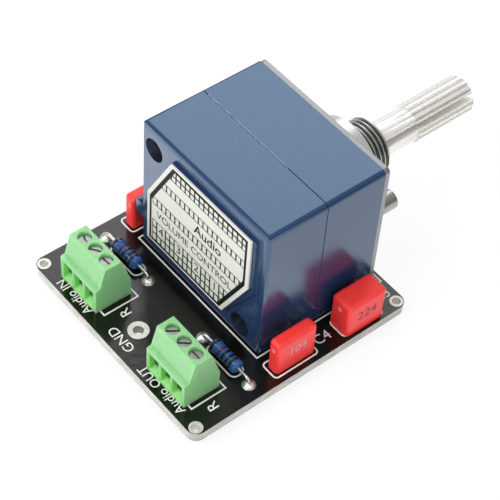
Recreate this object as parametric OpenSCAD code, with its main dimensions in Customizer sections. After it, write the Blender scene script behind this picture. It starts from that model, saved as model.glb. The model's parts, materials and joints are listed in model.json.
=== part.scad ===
// Stereo volume control board: a two-gang potentiometer, screw terminals,
// resistors and box capacitors on one circuit board.
// Millimetres. Origin at the board's centre on its underside, +Y along the shaft, +Z up.

/* [Board] */
// Board width along X
board_w = 38; // [37.6:0.1:44]
// Board length along Y
board_l = 38.8; // [38.2:0.1:46]
// Board thickness
board_t = 1.6; // [1:0.1:2.4]
// Radius of the board's corners
board_r = 1.6; // [0.4:0.1:2.2]
// Diameter of the corner holes
corner_hole_d = 1.3; // [0.8:0.05:1.6]
// Corner hole centre to the board's edges
corner_inset = 1.25; // [1.15:0.05:1.6]
// Diameter of the ground hole
ground_hole_d = 1.6; // [1:0.1:2.6]
// Ground hole centre to the front edge
ground_inset = 4.9; // [2.5:0.1:7]

/* [Pin tails and solder] */
// Length of the tails under the board
tail_l = 1.5; // [1:0.1:2.5]
// Radial room of a lead in its hole
lead_room = 0.12; // [0.08:0.01:0.2]
// Height of a solder cone under the board
solder_h = 0.8; // [0.4:0.05:0.9]
// Height of a solder dome on top of the board
dome_h = 0.6; // [0.3:0.05:0.8]
// Width of the solder ring past the hole under the board
solder_ring = 0.4; // [0.2:0.05:0.5]
// Width of a solder dome past the hole on top of the board
dome_ring = 0.65; // [0.3:0.05:0.8]
// Radial room between solder and lead
solder_room = 0.03; // [0.02:0.01:0.06]

/* [Terminal blocks] */
// Block centre to the board's centre line
term_x = 10.1; // [9:0.1:11]
// Front wall to the board's front edge
term_inset = 1.85; // [1:0.05:2.6]
// Spacing of the poles
pole_pitch = 2.54; // [2.5:0.01:2.7]
// End wall past the last pole's share
term_end = 0.38; // [0.1:0.02:0.5]
// Depth of the block
term_d = 6.1; // [5.9:0.1:6.6]
// Height of the block
term_h = 8.1; // [7.9:0.1:9.6]
// Height of the upright front wall
term_front_h = 4.6; // [4.4:0.05:5.2]
// Depth of the ledge over the front wall
term_ledge = 0.75; // [0.4:0.05:0.9]
// Rise of that ledge
term_ledge_rise = 0.15; // [0:0.05:0.4]
// Depth of the flat top
term_top_d = 2.8; // [2.3:0.05:3]
// Front wall to the screw axis
screw_y = 3.1; // [2.8:0.05:3.2]
// Height of the upright back wall
term_back_h = 3.3; // [2.4:0.1:4]
// Width of a pole's cell
cell_w = 2; // [1.9:0.02:2.1]
// Thickness of the wall in front of the cells
cell_front = 1.2; // [0.8:0.05:1.3]
// Thickness of the wall behind the cells
cell_back = 0.5; // [0.4:0.05:0.6]
// Thickness of the web under the screw heads
term_web = 1.1; // [0.8:0.05:1.2]
// Width of a wire entry
entry_w = 2.1; // [1.4:0.05:2.15]
// Wall over a wire entry
entry_lintel = 0.65; // [0.5:0.05:1]
// Wire entry's sill above the board
entry_sill = 0.4; // [0.3:0.05:0.6]
// Rise of that sill through the front wall
entry_ramp = 0.6; // [0.2:0.05:0.8]

/* [Terminal screws and clamps] */
// Diameter of a screw head
screw_head_d = 1.9; // [1.7:0.05:1.95]
// Height of a screw head
screw_head_h = 0.9; // [0.7:0.05:1.1]
// Diameter of a screw's shank
screw_d = 1.2; // [1:0.05:1.25]
// Radial room of the head in its well
screw_room = 0.1; // [0.08:0.01:0.11]
// Radial room of the shank in the web and the clamp
thread_room = 0.05; // [0.04:0.01:0.08]
// Width of a screw's slot
slot_w = 0.35; // [0.25:0.05:0.5]
// Depth of a screw's slot
slot_h = 0.4; // [0.2:0.05:0.5]
// Room at the sides of a clamp
clamp_room = 0.1; // [0.08:0.01:0.14]
// Length of a clamp along the wire
clamp_l = 2.8; // [2.2:0.1:3]
// Height of a clamp
clamp_h = 4.1; // [3.8:0.05:4.2]
// Thickness of a clamp's top
clamp_top = 0.9; // [0.6:0.05:1]
// Thickness of a clamp's sides
clamp_side = 0.25; // [0.2:0.01:0.3]
// Thickness of a clamp's bottom
clamp_bottom = 0.5; // [0.3:0.05:0.6]
// Clamp's underside above the board when open
clamp_rest = 0.6; // [0.4:0.05:0.7]
// Travel of a clamp
clamp_travel = 0.8; // [0.6:0.05:0.85]
// Width of the contact pins
contact_w = 0.9; // [0.7:0.05:0.95]
// Thickness of the contact pins
contact_t = 0.4; // [0.3:0.05:0.45]
// Room over a contact inside its clamp
contact_room = 0.3; // [0.25:0.05:0.4]

/* [Potentiometer case] */
// Case width along X
pot_w = 27; // [26.2:0.1:27.6]
// Case height above the board
pot_h = 24.4; // [23.8:0.1:27]
// Rear face from the board's centre, towards the terminals
pot_rear = 4.05; // [3.6:0.05:4.4]
// Length of the rear case
rear_case_l = 10.3; // [9.8:0.1:10.6]
// Length of the front case
front_case_l = 10.1; // [9.8:0.1:10.6]
// Radius of the case's edges
case_r = 0.8; // [0.3:0.05:1]
// Thickness of the case's walls
case_wall = 1.6; // [1.2:0.05:1.8]
// Thickness of the rear wall
rear_wall = 2.4; // [2.2:0.05:2.8]
// Thickness of the wall between the gangs
mid_wall = 1.5; // [1.2:0.05:1.8]
// Shaft axis above the board
axis_h = 11.8; // [11.6:0.1:12.4]
// Depth and width of the groove at the parting line
seam = 0.14; // [0.06:0.02:0.2]
// Height of the raised field under the label
field_t = 0.35; // [0.2:0.05:0.5]
// Margin of the raised field past the label's sides
field_margin = 0.65; // [0.3:0.05:0.9]
// Margin of the raised field past the label's top, bottom and cut ends
field_lip = 0.1; // [0.05:0.05:0.3]
// How much shorter the field's cut corners are than the label's
field_corner = 0.8; // [0.4:0.1:1.2]
// Width of the side latch out of the case
latch_w = 1.15; // [0.6:0.05:1.3]
// Length of the side latch along the shaft
latch_l = 1.2; // [0.8:0.1:1.6]
// Height of the side latch
latch_h = 2.6; // [2:0.1:3.2]
// Latch centre above the board
latch_z = 6.3; // [6:0.1:9]

/* [Label] */
// Label width
label_w = 22.2; // [20:0.1:22.6]
// Label height
label_h = 19; // [17:0.1:19.4]
// Width of the label's cut corners
label_cut_w = 5; // [4.6:0.1:6]
// Height of the label's cut corners
label_cut_h = 9.5; // [8.4:0.1:10.5]
// Label thickness
label_t = 0.4; // [0.2:0.05:0.6]
// Label centre above the board
label_z = 12.8; // [12.6:0.1:13]

/* [Rivets] */
// Half the spacing of the rivets along X
rivet_x = 9.95; // [9.8:0.05:10.4]
// Half the spacing of the rivets along Z
rivet_z = 8.95; // [8.7:0.05:9.1]
// Shift of both rivets from the shaft axis towards -X
rivet_shift = 0.7; // [0:0.05:0.9]
// Rivet diameter
rivet_d = 2; // [1.6:0.05:2.2]
// Radial room of a rivet in its hole
rivet_room = 0.15; // [0.1:0.01:0.2]
// Diameter of the sunk hole in the rear face
sunk_d = 3.75; // [3:0.05:3.9]
// Depth of the sunk hole
sunk_h = 2; // [1.2:0.05:2.2]
// Diameter of a rivet head
rivet_head_d = 2.7; // [2.4:0.05:2.8]
// Height of a rivet head
rivet_head_h = 0.6; // [0.4:0.05:0.8]
// Wall round a rivet inside the case
post_wall = 1.3; // [1:0.05:1.4]

/* [Front plate, bushing and locating pin] */
// Front plate thickness
plate_t = 0.9; // [0.6:0.05:1.2]
// Front plate's edge inside the case's outline
plate_margin = 0.1; // [0:0.05:0.4]
// Radius of the front plate's corners
plate_r = 0.8; // [0.5:0.1:2.2]
// Bushing diameter
bushing_d = 9; // [8.6:0.1:10]
// Bushing length from the front plate
bushing_l = 10.1; // [8.6:0.1:11]
// Diameter of the bushing's wide base
base_d = 13.6; // [12:0.1:14.2]
// Length of the bushing's wide base
base_l = 5.8; // [4:0.1:6.4]
// Chamfer at the front of the wide base
base_chamfer = 0.35; // [0.1:0.05:0.6]
// Chamfer at the end of the bushing
bushing_chamfer = 0.4; // [0.2:0.05:0.6]
// Diameter of the bushing's spigot in the plate
spigot_d = 8; // [7.8:0.1:8.4]
// Radial room of the spigots in the plate
spigot_room = 0.05; // [0.03:0.01:0.08]
// Locating pin axis from the shaft axis
locator_x = 9.65; // [9:0.05:10.4]
// Locating pin diameter
locator_d = 3; // [2.4:0.1:3.4]
// Locating pin length from the plate
locator_l = 5.4; // [3:0.1:6]
// Diameter of the locating pin's spigot
locator_spigot_d = 1.8; // [1.4:0.1:2]

/* [Shaft] */
// Shaft diameter
shaft_d = 6; // [5.8:0.05:6.2]
// Radial room of the shaft in the bushing
shaft_room = 0.04; // [0.02:0.01:0.06]
// Diameter of the neck behind the splines
neck_d = 5.5; // [5:0.05:5.6]
// Length of the neck
neck_l = 6.9; // [5:0.1:9]
// Length of the splines
spline_l = 11.3; // [8:0.1:14]
// Number of splines
spline_n = 18; // [14:2:24]
// Height of a spline
spline_h = 0.35; // [0.2:0.05:0.45]
// Width of the split in the shaft
split_w = 1.1; // [0.8:0.05:1.4]
// Turn of the split from the X axis in degrees
split_turn = 30; // [0:5:175]
// Chamfer at the shaft's end
shaft_chamfer = 0.4; // [0.2:0.05:0.6]
// Side of the square drive inside
drive_a = 3.2; // [2.8:0.05:3.3]
// Diameter of the rear pivot
pivot_d = 2; // [1.6:0.05:2.2]
// Radial room of the rear pivot
pivot_room = 0.05; // [0.03:0.01:0.08]
// Depth of the rear pivot in the rear wall
pivot_l = 1.3; // [0.8:0.05:1.4]
// Diameter of the shoulder before the retaining ring
shoulder_d = 5.2; // [5:0.05:5.4]
// Retaining ring's outer diameter
ring_d = 8.4; // [7.8:0.1:8.8]
// Retaining ring's thickness
ring_t = 0.4; // [0.3:0.05:0.5]
// Diameter of the ring's groove
groove_d = 4.4; // [4:0.05:4.6]
// Room of the ring at each side in its groove
ring_room = 0.03; // [0.02:0.01:0.05]
// End play of the shaft
end_play = 0.1; // [0.05:0.01:0.15]

/* [Gangs] */
// Wafer diameter
wafer_d = 19; // [18:0.1:19.6]
// Width of the wafer's foot
wafer_w = 12.8; // [12:0.1:13]
// Wafer thickness
wafer_t = 1; // [0.8:0.05:1.2]
// Diameter of the hole in the wafers
wafer_hole_d = 9.6; // [9.4:0.1:10]
// Rotor diameter
rotor_d = 14; // [13.4:0.1:14.4]
// Rotor disc thickness
rotor_t = 1.5; // [1.2:0.05:1.6]
// Rotor hub diameter
hub_d = 6.4; // [6:0.1:6.8]
// Rotor hub length
hub_l = 3.2; // [2.4:0.1:3.3]
// Room round the square drive in a rotor
drive_room = 0.05; // [0.03:0.01:0.08]
// Rotor disc to its wafer
rotor_reach = 3.7; // [3.5:0.05:3.9]
// Thickness of a wiper
wiper_t = 0.3; // [0.2:0.05:0.35]
// Width of a wiper
wiper_w = 2; // [1.2:0.1:2.6]
// Gap between a wiper's tip and its wafer
wiper_gap = 0.1; // [0.08:0.01:0.15]
// Width of the stop lug on the front rotor
lug_w = 2; // [1.4:0.1:2.1]
// Width of the stop post in the front case
stop_w = 3; // [2.2:0.1:3.1]
// Spacing of the potentiometer's pins
pin_pitch = 5; // [4:0.1:5.6]
// Width of a potentiometer pin
pin_w = 1; // [0.8:0.05:1.2]
// Thickness of a potentiometer pin
pin_t = 0.5; // [0.3:0.05:0.6]
// Length of a pin on its wafer
pin_grip = 2.4; // [1.6:0.1:2.6]

/* [Capacitors] */
// Gap between the case and the large capacitors
cap_gap = 1.05; // [0.9:0.05:1.25]
// Capacitor length along Y
cap_l = 7; // [6.4:0.1:7.4]
// Capacitor height
cap_h = 6; // [5:0.1:10]
// Thickness of the small capacitors
small_cap_w = 2.2; // [2:0.1:3]
// Thickness of the large capacitors
large_cap_w = 3.9; // [3:0.1:4]
// Small capacitors behind the board's centre
small_cap_y = 0.5; // [0.2:0.1:1]
// Large capacitors in front of the board's centre
large_cap_y = 11.5; // [11:0.1:12]
// Radius of the capacitors' edges
cap_r = 0.4; // [0.2:0.05:0.6]
// Capacitor lead spacing
cap_pitch = 5.08; // [4.6:0.02:5.2]
// Capacitor lead diameter
cap_lead_d = 0.6; // [0.4:0.05:0.8]
// Diameter of the moulding dimple on a capacitor's end
dimple_d = 0.8; // [0.5:0.05:1]
// Depth of that dimple
dimple_h = 0.15; // [0.1:0.05:0.25]

/* [Resistors] */
// Resistor centre from the board's centre line
res_x = 11.45; // [11:0.05:11.8]
// Resistors behind the board's centre
res_y = 8.05; // [7.6:0.05:8.6]
// Resistor length
res_l = 5.4; // [5:0.1:6.4]
// Diameter of a resistor's ends
res_d = 2.15; // [2:0.05:2.4]
// Diameter of a resistor's waist
res_waist_d = 1.95; // [1.6:0.05:2]
// Length of a resistor's thick ends
res_end_l = 1.4; // [1.2:0.05:1.8]
// Gap under a resistor
res_lift = 0.1; // [0.06:0.01:0.4]
// Resistor lead spacing
res_pitch = 10.16; // [9.8:0.02:10.4]
// Resistor lead diameter
res_lead_d = 0.5; // [0.4:0.05:0.6]
// Bend radius of a resistor's leads
res_bend = 0.7; // [0.5:0.05:0.8]

/* [Hidden] */
$fn = 48;
eps = 0.01;
// heights and faces that several pieces share
top = board_t;
axis_z = board_t + axis_h;
case_mid_z = board_t + pot_h / 2;
rear_y = -pot_rear;
part_y = rear_y + rear_case_l;
front_y = part_y + front_case_l;
plate_y = front_y + plate_t;
bushing_y = plate_y + bushing_l;
neck_y = bushing_y + neck_l;
shaft_y = neck_y + spline_l;
rear_in_y = rear_y + rear_wall;
floor_z = top + case_wall;
// terminal block
term_l = 3 * pole_pitch + 2 * term_end;
term_y = -board_l / 2 + term_inset;
cell_h = clamp_rest + clamp_h + clamp_travel + clamp_room;
head_z = cell_h + term_web;
clamp_w = cell_w - 2 * clamp_room;
clamp_front = screw_y - clamp_l / 2 - clamp_room;
clamp_back = screw_y + clamp_l / 2 + clamp_room;
entry_top = term_front_h - entry_lintel;
contact_z = clamp_rest + clamp_h - clamp_top - contact_room - contact_t;
leg_y = term_d - cell_back - contact_t - clamp_room;
in_slots = [-20, 35, 5];
out_slots = [55, 50, 0];
// capacitors and resistors
cap_x = pot_w / 2 + cap_gap + large_cap_w / 2;
res_z = res_d / 2 + res_lift;
// gangs
rear_wafer_y = part_y - wafer_t;
front_wafer_y = front_y - wafer_t;
rear_rotor_y = rear_wafer_y - rotor_reach;
front_rotor_y = front_wafer_y - rotor_reach;
post_r = rivet_d / 2 + rivet_room + post_wall;
lug_in = rotor_d / 2 - 1.5;
ring_y = front_y - end_play - ring_t;
groove_y = ring_y - ring_room;
groove_l = ring_t + 2 * ring_room;
hub_front_y = front_rotor_y - rotor_t + hub_l;
// holes for the leads
contact_hole_r = sqrt(contact_w * contact_w + contact_t * contact_t) / 2 + lead_room;
pin_hole_r = sqrt(pin_w * pin_w + pin_t * pin_t) / 2 + lead_room;
cap_hole_r = cap_lead_d / 2 + lead_room;
res_hole_r = res_lead_d / 2 + lead_room;
// colours
mask_black = [0.09, 0.09, 0.10];
navy = [0.17, 0.25, 0.42];
green = [0.47, 0.80, 0.45];
red = [0.86, 0.14, 0.15];
blue = [0.20, 0.42, 0.72];
silver = [0.80, 0.81, 0.82];
steel = [0.62, 0.63, 0.65];
off_white = [0.93, 0.92, 0.88];
phenolic = [0.55, 0.38, 0.22];
brass = [0.80, 0.66, 0.32];
tin = [0.75, 0.76, 0.77];

// Shared shapes

// a flat outline in X and Z, drawn out from y0 along +Y
module along_y(y0, l)
    translate([0, y0 + l, 0]) rotate([90, 0, 0]) linear_extrude(l) children();

// a flat outline in Y and Z, drawn out from x0 along +X
module along_x(x0, l)
    translate([x0, 0, 0]) rotate([90, 0, 90]) linear_extrude(l) children();

// a round bar along +Y
module bar_y(y0, l, r, x = 0, z = axis_z)
    translate([x, y0, z]) rotate([-90, 0, 0]) cylinder(h = l, r = r);

// a round bar along +Y whose far edge is cut off at 45 degrees
module chamfered_bar_y(y0, l, r, cut) {
    bar_y(y0, l - cut, r);
    translate([0, y0 + l - cut - eps, axis_z]) rotate([-90, 0, 0]) cylinder(h = cut + eps, r1 = r, r2 = r - cut);
}

module round_rect(w, h, r) {
    square([w - 2 * r, h], center = true);
    square([w, h - 2 * r], center = true);
    for (x = [-1, 1], y = [-1, 1])
        translate([x * (w / 2 - r), y * (h / 2 - r)]) circle(r);
}

// a rectangle from the origin upwards whose two upper corners are round
module round_top(w, h, r) {
    translate([-w / 2, 0]) square([w, h - r]);
    translate([-w / 2 + r, 0]) square([w - 2 * r, h]);
    for (x = [-1, 1])
        translate([x * (w / 2 - r), h - r]) circle(r);
}

// places of the leads on the board
module contact_places(x)
    for (i = [-1:1])
        translate([x + i * pole_pitch, term_y + leg_y + contact_t / 2, 0]) children();

module pin_places()
    for (y = [rear_wafer_y, front_wafer_y], i = [-1:1])
        translate([i * pin_pitch, y - pin_t / 2, 0]) children();

module cap_lead_places()
    for (s = [-1, 1], y = [-small_cap_y, large_cap_y], i = [-1, 1])
        translate([s * cap_x, y + i * cap_pitch / 2, 0]) children();

module res_lead_places()
    for (s = [-1, 1], i = [-1, 1])
        translate([s * res_x + i * res_pitch / 2, -res_y, 0]) children();

// Board

module board()
    color(mask_black) difference() {
        linear_extrude(board_t) round_rect(board_w, board_l, board_r);
        for (x = [-1, 1], y = [-1, 1])
            translate([x * (board_w / 2 - corner_inset), y * (board_l / 2 - corner_inset), -eps])
                cylinder(h = board_t + 2 * eps, d = corner_hole_d);
        translate([0, -board_l / 2 + ground_inset, -eps]) cylinder(h = board_t + 2 * eps, d = ground_hole_d);
        translate([0, 0, -eps]) {
            for (x = [-term_x, term_x])
                contact_places(x) cylinder(h = board_t + 2 * eps, r = contact_hole_r);
            pin_places() cylinder(h = board_t + 2 * eps, r = pin_hole_r);
            cap_lead_places() cylinder(h = board_t + 2 * eps, r = cap_hole_r);
            res_lead_places() cylinder(h = board_t + 2 * eps, r = res_hole_r);
        }
    }

// Terminal blocks

module term_profile()
    polygon([[0, 0], [0, term_front_h], [term_ledge, term_front_h + term_ledge_rise],
        [screw_y - term_top_d / 2, term_h], [screw_y + term_top_d / 2, term_h], [term_d, term_back_h], [term_d, 0]]);

module housing(x)
    color(green) translate([x, term_y, top]) difference() {
        along_x(-term_l / 2, term_l) term_profile();
        for (i = [-1:1]) translate([i * pole_pitch, 0, 0]) {
            translate([-cell_w / 2, clamp_front, -eps])
                cube([cell_w, clamp_back - clamp_front, cell_h + eps]);
            translate([-cell_w / 2, cell_front, -eps])
                cube([cell_w, clamp_back - cell_front, entry_top + eps]);
            translate([-cell_w / 2, cell_front, -eps])
                cube([cell_w, term_d - cell_front - cell_back, contact_z + contact_t + clamp_room + eps]);
            along_x(-entry_w / 2, entry_w)
                polygon([[-eps, entry_sill], [cell_front + eps, entry_sill + entry_ramp],
                    [cell_front + eps, entry_top], [-eps, entry_top]]);
            translate([0, screw_y, head_z]) cylinder(h = term_h, d = screw_head_d + 2 * screw_room);
            translate([0, screw_y, 0]) cylinder(h = term_h, d = screw_d + 2 * thread_room);
        }
    }

module in_housing() housing(-term_x);
module out_housing() housing(term_x);

module screw(x, turn)
    color(silver) translate([x, term_y + screw_y, top + head_z]) difference() {
        union() {
            cylinder(h = screw_head_h, d = screw_head_d);
            translate([0, 0, contact_z + contact_t + contact_room / 2 - head_z])
                cylinder(h = head_z - contact_z - contact_t - contact_room / 2 + eps, d = screw_d);
        }
        rotate(turn) translate([-screw_head_d, -slot_w / 2, screw_head_h - slot_h])
            cube([2 * screw_head_d, slot_w, screw_head_h]);
    }

module in_screw_1() screw(-term_x - pole_pitch, in_slots[0]);
module in_screw_2() screw(-term_x, in_slots[1]);
module in_screw_3() screw(-term_x + pole_pitch, in_slots[2]);
module out_screw_1() screw(term_x - pole_pitch, out_slots[0]);
module out_screw_2() screw(term_x, out_slots[1]);
module out_screw_3() screw(term_x + pole_pitch, out_slots[2]);

// a clamp is a box loop that the screw lifts, open along the wire
module clamp(x)
    color(brass) translate([x, term_y + screw_y, top + clamp_rest]) difference() {
        translate([-clamp_w / 2, -clamp_l / 2, 0]) cube([clamp_w, clamp_l, clamp_h]);
        translate([-clamp_w / 2 + clamp_side, -clamp_l / 2 - eps, clamp_bottom])
            cube([clamp_w - 2 * clamp_side, clamp_l + 2 * eps, clamp_h - clamp_bottom - clamp_top]);
        translate([0, 0, clamp_h / 2]) cylinder(h = clamp_h, d = screw_d + 2 * thread_room);
    }

module in_clamp_1() clamp(-term_x - pole_pitch);
module in_clamp_2() clamp(-term_x);
module in_clamp_3() clamp(-term_x + pole_pitch);
module out_clamp_1() clamp(term_x - pole_pitch);
module out_clamp_2() clamp(term_x);
module out_clamp_3() clamp(term_x + pole_pitch);

// a contact lies through its clamp and bends down into the board
module contacts(x)
    color(tin) for (i = [-1:1])
        translate([x + i * pole_pitch - contact_w / 2, term_y, top]) {
            translate([0, screw_y - clamp_l / 2, contact_z])
                cube([contact_w, leg_y + contact_t - screw_y + clamp_l / 2, contact_t]);
            translate([0, leg_y, -board_t - tail_l])
                cube([contact_w, contact_t, contact_z + contact_t / 2 + board_t + tail_l]);
        }

module in_contacts() contacts(-term_x);
module out_contacts() contacts(term_x);

// Potentiometer

module case_outline(less = 0)
    translate([0, case_mid_z]) round_rect(pot_w - 2 * less, pot_h - 2 * less, case_r);

// the inside of a case, with a round post in the two riveted corners
module case_hollow(y0, l)
    difference() {
        along_y(y0, l) translate([-pot_w / 2 + case_wall, floor_z])
            square([pot_w - 2 * case_wall, pot_h - 2 * case_wall]);
        rivet_places() bar_y(y0 - 1, l + 2, post_r, 0, 0);
    }

module rivet_places()
    for (s = [-1, 1])
        translate([s * rivet_x - rivet_shift, 0, axis_z - s * rivet_z]) children();

// slots in the case's floor for a row of pins
module pin_slots(y0)
    for (i = [-1:1])
        translate([i * pin_pitch - pin_w / 2 - lead_room, y0 - pin_t - lead_room, top - eps])
            cube([pin_w + 2 * lead_room, pin_t + lead_room, case_wall + 2 * eps]);

// a rectangle about the label's centre with two corners cut off
module cut_outline(w, h, cut_end, cut_h)
    translate([0, top + label_z])
        polygon([[-w, -h], [cut_end, -h], [w, -h + cut_h], [w, h], [-cut_end, h], [-w, h - cut_h]]);

module label_outline()
    cut_outline(label_w / 2, label_h / 2, label_w / 2 - label_cut_w, label_cut_h);

// the raised field under the label
module field_outline()
    cut_outline(label_w / 2 + field_margin, label_h / 2 + field_lip, label_w / 2 - label_cut_w + field_lip,
        label_cut_h - field_corner);

module rear_case()
    color(navy) difference() {
        union() {
            intersection() {
                along_y(rear_y, rear_case_l - seam) case_outline();
                translate([0, part_y, top]) linear_extrude(pot_h) rotate(180) round_top(pot_w, rear_case_l, case_r);
                along_x(-pot_w / 2, pot_w) translate([part_y, case_mid_z]) rotate(90)
                    round_top(pot_h, rear_case_l, case_r);
            }
            along_y(part_y - seam - eps, seam + eps) case_outline(seam);
            along_y(rear_y - field_t, field_t + eps) field_outline();
            translate([-pot_w / 2 - latch_w, rear_y, top + latch_z - latch_h / 2])
                cube([latch_w + case_r, latch_l, latch_h]);
        }
        case_hollow(rear_in_y, rear_case_l);
        rivet_places() {
            bar_y(rear_y - 1, rear_case_l + 2, rivet_d / 2 + rivet_room, 0, 0);
            bar_y(rear_y - 1, sunk_h + 1, sunk_d / 2, 0, 0);
        }
        bar_y(rear_in_y - pivot_l - pivot_room, pivot_l + 1, pivot_d / 2 + pivot_room);
        pin_slots(rear_wafer_y);
    }

module front_case()
    color(navy) difference() {
        union() {
            difference() {
                along_y(part_y, front_case_l) case_outline();
                case_hollow(part_y + mid_wall, front_case_l);
            }
            translate([-stop_w / 2, part_y + mid_wall - eps, axis_z - rotor_d / 2 - 1.5])
                cube([stop_w, front_rotor_y - rotor_t - 0.4 - part_y - mid_wall, rotor_d / 2 + 1.5 - lug_in + 0.3]);
        }
        rivet_places() bar_y(part_y - 1, front_case_l + 2, rivet_d / 2 + rivet_room, 0, 0);
        bar_y(part_y - 1, mid_wall + 2, drive_a * sqrt(2) / 2 + 0.35);
        pin_slots(front_wafer_y);
    }

module label_plate()
    color(off_white) along_y(rear_y - field_t - label_t, label_t) label_outline();

module front_plate()
    color(silver) difference() {
        along_y(front_y, plate_t) translate([0, case_mid_z])
            round_rect(pot_w - 2 * plate_margin, pot_h - 2 * plate_margin, plate_r);
        bar_y(front_y - 1, plate_t + 2, spigot_d / 2 + spigot_room);
        bar_y(front_y - 1, plate_t + 2, locator_spigot_d / 2 + spigot_room, locator_x);
        rivet_places() bar_y(front_y - 1, plate_t + 2, rivet_d / 2 + rivet_room, 0, 0);
    }

module bushing()
    color(silver) difference() {
        union() {
            bar_y(front_y, plate_t + eps, spigot_d / 2);
            chamfered_bar_y(plate_y, base_l, base_d / 2, base_chamfer);
            chamfered_bar_y(plate_y, bushing_l, bushing_d / 2, bushing_chamfer);
        }
        bar_y(front_y - 1, plate_t + bushing_l + 2, shaft_d / 2 + shaft_room);
    }

module locating_pin()
    color(steel) {
        bar_y(front_y, plate_t + eps, locator_spigot_d / 2, locator_x);
        bar_y(plate_y, locator_l, locator_d / 2, locator_x);
    }

module rivet(s)
    color(steel) translate([s * rivet_x - rivet_shift, 0, axis_z - s * rivet_z]) {
        bar_y(rear_y + sunk_h - rivet_head_h, rivet_head_h, rivet_head_d / 2, 0, 0);
        bar_y(rear_y + sunk_h - eps, plate_y - rear_y - sunk_h + 2 * eps, rivet_d / 2, 0, 0);
        bar_y(plate_y, rivet_head_h, rivet_head_d / 2, 0, 0);
    }

module upper_rivet() rivet(-1);
module lower_rivet() rivet(1);

// the splined end, cut along its middle
module spline_outline() {
    circle(shaft_d / 2 - spline_h);
    for (i = [0:spline_n - 1])
        rotate((i + 0.5) * 360 / spline_n)
            polygon([[0, -0.1], [shaft_d / 2 - spline_h - 0.05, -0.3 * PI * shaft_d / spline_n],
                [shaft_d / 2, -0.18 * PI * shaft_d / spline_n], [shaft_d / 2, 0.18 * PI * shaft_d / spline_n],
                [shaft_d / 2 - spline_h - 0.05, 0.3 * PI * shaft_d / spline_n], [0, 0.1]]);
}

module shaft()
    color(silver) difference() {
        union() {
            bar_y(rear_in_y - pivot_l, pivot_l + end_play + 0.2 + eps, pivot_d / 2);
            along_y(rear_in_y + end_play + 0.2, hub_front_y - rear_in_y - end_play - 0.2 + eps)
                translate([0, axis_z]) square(drive_a, center = true);
            bar_y(hub_front_y, groove_y - hub_front_y, shoulder_d / 2);
            bar_y(groove_y - eps, groove_l + 2 * eps, groove_d / 2);
            bar_y(groove_y + groove_l, bushing_y - groove_y - groove_l + eps, shaft_d / 2);
            bar_y(bushing_y, neck_l + eps, neck_d / 2);
            intersection() {
                along_y(neck_y, spline_l) translate([0, axis_z]) rotate(split_turn) spline_outline();
                union() {
                    bar_y(neck_y, spline_l - shaft_chamfer, shaft_d);
                    translate([0, shaft_y - shaft_chamfer - eps, axis_z]) rotate([-90, 0, 0])
                        cylinder(h = shaft_chamfer + eps, r1 = shaft_d / 2, r2 = shaft_d / 2 - shaft_chamfer);
                }
            }
        }
        along_y(bushing_y + 0.4, neck_l + spline_l) translate([0, axis_z]) rotate(split_turn)
            square([2 * shaft_d, split_w], center = true);
    }

module retaining_ring()
    color(steel) along_y(ring_y, ring_t) translate([0, axis_z]) difference() {
        circle(d = ring_d);
        circle(d = groove_d + 2 * drive_room);
        translate([-groove_d * 0.35, 0]) square([groove_d * 0.7, ring_d]);
    }

module rotor(y0)
    difference() {
        union() {
            bar_y(y0 - rotor_t, rotor_t, rotor_d / 2);
            bar_y(y0 - rotor_t, hub_l, hub_d / 2);
            children();
        }
        along_y(y0 - rotor_t - 3, hub_l + 6) translate([0, axis_z])
            square(drive_a + 2 * drive_room, center = true);
    }

module rear_rotor() color(off_white) rotor(rear_rotor_y);

module front_rotor()
    color(off_white) rotor(front_rotor_y)
        translate([-lug_w / 2, front_rotor_y - rotor_t - 1.4, axis_z + lug_in])
            cube([lug_w, 1.4 + eps, 1.3]);

// a bent spring strip from the rotor's face to the track on the wafer
module wiper(y0)
    color(brass) along_x(-wiper_w / 2, wiper_w) translate([y0, axis_z + hub_d / 2 + 0.2]) {
        reach = rotor_reach - wiper_gap;
        polygon([[0, 0], [wiper_t, 0], [wiper_t, 2.3], [reach, 1.6], [reach, 1.6 + wiper_t],
            [wiper_t, 2.3 + wiper_t], [0, 2.3 + wiper_t]]);
    }

module rear_wiper() wiper(rear_rotor_y);
module front_wiper() wiper(front_rotor_y);

module wafer(y0)
    color(phenolic) along_y(y0, wafer_t) difference() {
        union() {
            translate([0, axis_z]) circle(d = wafer_d);
            translate([-wafer_w / 2, floor_z]) square([wafer_w, axis_z - floor_z]);
        }
        translate([0, axis_z]) circle(d = wafer_hole_d);
    }

module rear_wafer() wafer(rear_wafer_y);
module front_wafer() wafer(front_wafer_y);

module pot_pins(y0)
    color(tin) for (i = [-1:1])
        translate([i * pin_pitch - pin_w / 2, y0 - pin_t, -tail_l])
            cube([pin_w, pin_t, floor_z + pin_grip + tail_l]);

module rear_pins() pot_pins(rear_wafer_y);
module front_pins() pot_pins(front_wafer_y);

// Capacitors

module capacitor(s, y, w)
    color(red) translate([s * cap_x, y, top]) difference() {
        intersection() {
            linear_extrude(cap_h) round_rect(w, cap_l, cap_r);
            along_y(-cap_l / 2, cap_l) round_top(w, cap_h, cap_r);
            along_x(-w / 2, w) round_top(cap_l, cap_h, cap_r);
        }
        bar_y(-cap_l / 2 - 1, 1 + dimple_h, dimple_d / 2, 0, cap_h - 2 * dimple_d);
    }

module small_cap_left() capacitor(-1, -small_cap_y, small_cap_w);
module small_cap_right() capacitor(1, -small_cap_y, small_cap_w);
module large_cap_left() capacitor(-1, large_cap_y, large_cap_w);
module large_cap_right() capacitor(1, large_cap_y, large_cap_w);

module cap_leads(s, y)
    color(tin) for (i = [-1, 1])
        translate([s * cap_x, y + i * cap_pitch / 2, -tail_l]) cylinder(h = top + tail_l, d = cap_lead_d);

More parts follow.
